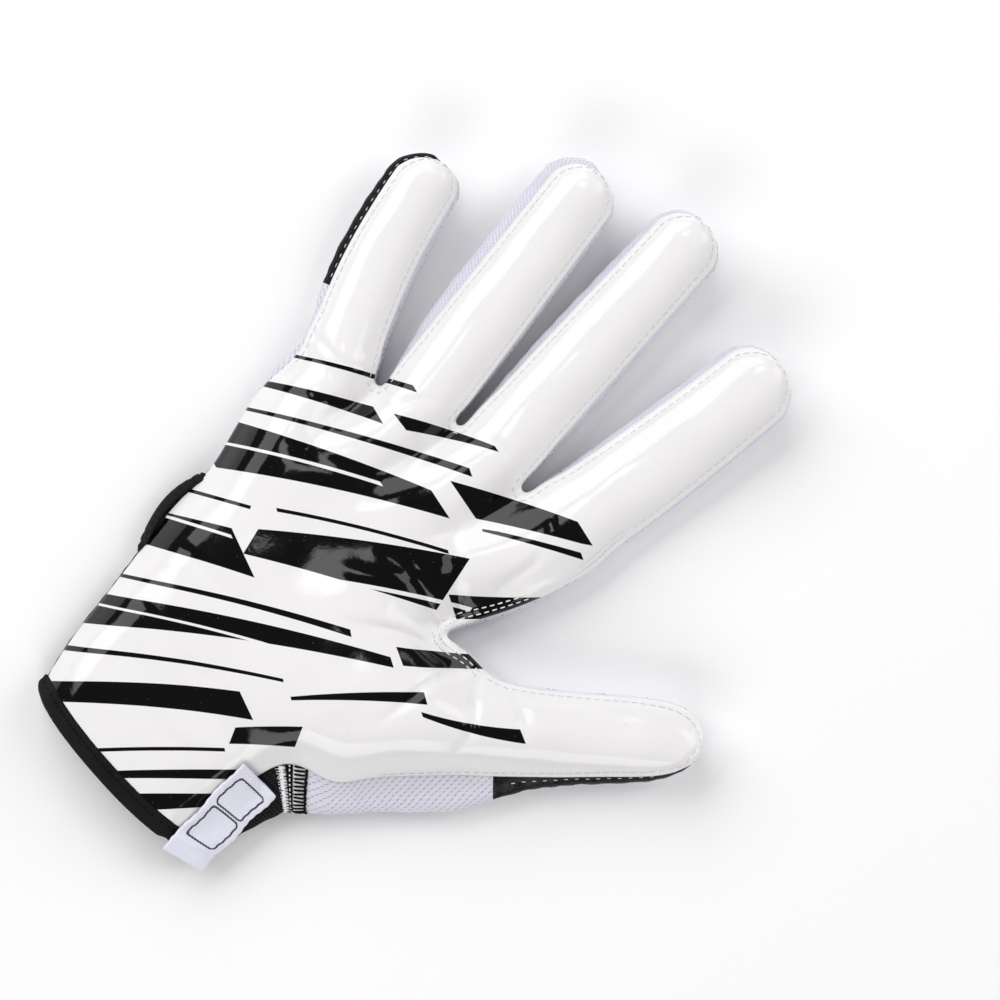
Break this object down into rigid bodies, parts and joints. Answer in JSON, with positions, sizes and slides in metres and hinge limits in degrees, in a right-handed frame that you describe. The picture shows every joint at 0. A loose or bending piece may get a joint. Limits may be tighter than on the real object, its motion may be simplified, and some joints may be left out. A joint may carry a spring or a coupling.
{
  "type": "football receiver glove",
  "caption": "Right-hand football receiver glove lying palm up, with a glossy grip palm, knit back and side walls, a wrist strap and a taped cuff.",
  "frame": {"origin": "on the plane that the back of the hand rests on, under the middle of the palm", "axes": "+X to the thumb side, +Y along the hand to the fingertips, +Z out of the palm"},
  "size_m": [0.171, 0.2218, 0.0237],
  "materials": {
    "palm_film": "wet-gloss white film with black printed bars",
    "knit": "pale lavender eyelet knit",
    "black_cloth": "black woven cloth",
    "black_film": "gloss black embossed strip",
    "black_elastic": "black ribbed elastic",
    "black_binding": "matt black binding tape",
    "woven_tab": "white woven tape"
  },
  "bodies": {
    "root": {"palm_panel": "palm_film", "back_panel": "knit", "cuff_back": "black_cloth", "wrist_side": "black_cloth", "hand_side_mesh": "knit", "pinky_side_strip": "black_film", "gusset_pinky_ring": "knit", "gusset_ring_middle": "knit", "gusset_middle_index": "knit", "thumb_gusset": "knit", "thumb_side_strip": "black_film", "thumb_side_mesh": "knit", "wrist_elastic": "black_elastic", "wrist_strap": "black_cloth", "cuff_binding": "black_binding", "label_tab": "woven_tab"}
  },
  "joints": []
}
